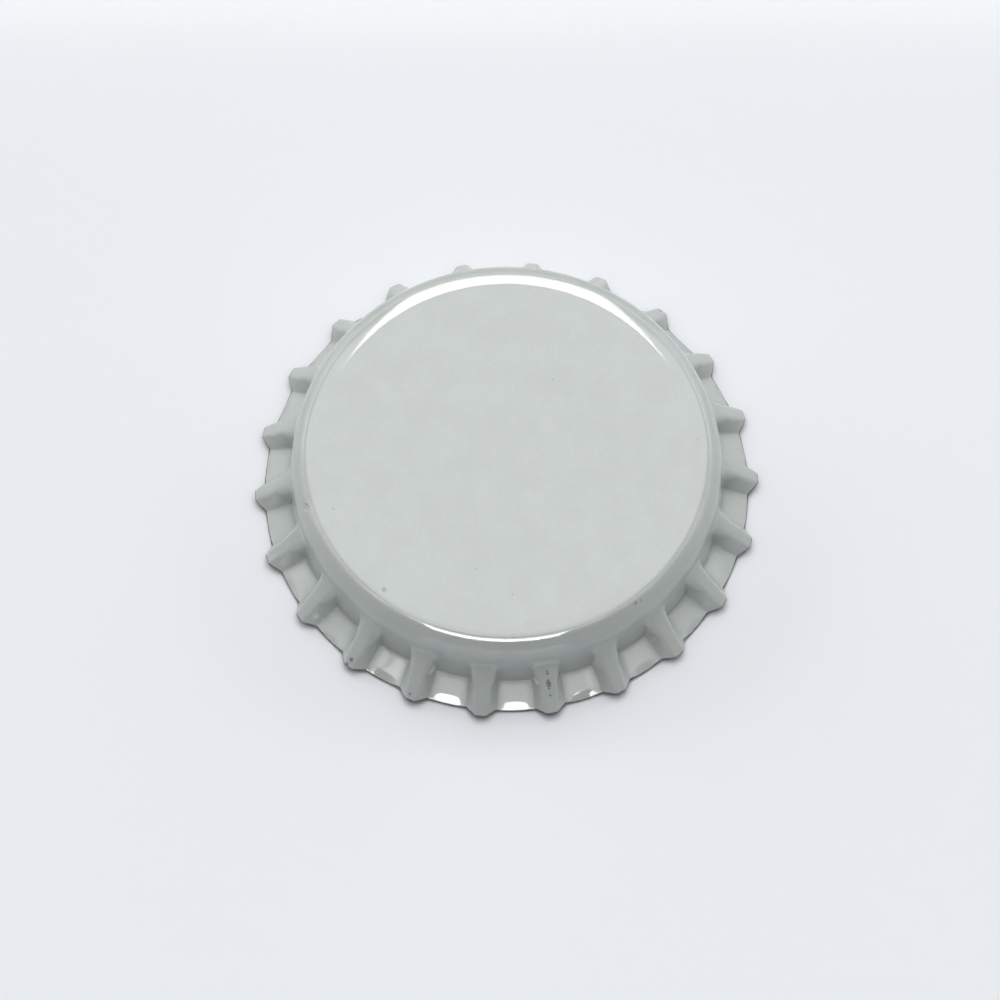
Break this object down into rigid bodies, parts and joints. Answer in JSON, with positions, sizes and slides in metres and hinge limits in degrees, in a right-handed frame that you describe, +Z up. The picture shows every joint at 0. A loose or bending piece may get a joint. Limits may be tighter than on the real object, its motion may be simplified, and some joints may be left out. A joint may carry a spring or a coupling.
{
  "type": "bottle cap",
  "caption": "Crown bottle cap: pressed steel shell with a flat round top, a rounded shoulder and a flared, fluted rim, with a moulded sealing liner inside.",
  "frame": {"origin": "under the middle of the top panel, at the height of the rim's lowest edges, which the cap stands on", "axes": "+Z up along the cap's axis, out through the top panel; +X through the middle of a flute"},
  "size_m": [0.032, 0.0318, 0.006],
  "materials": {
    "enamelled_steel": "gloss",
    "liner_polymer": "satin"
  },
  "bodies": {
    "root": {"crown_shell": "enamelled_steel", "sealing_liner": "liner_polymer"}
  },
  "joints": []
}
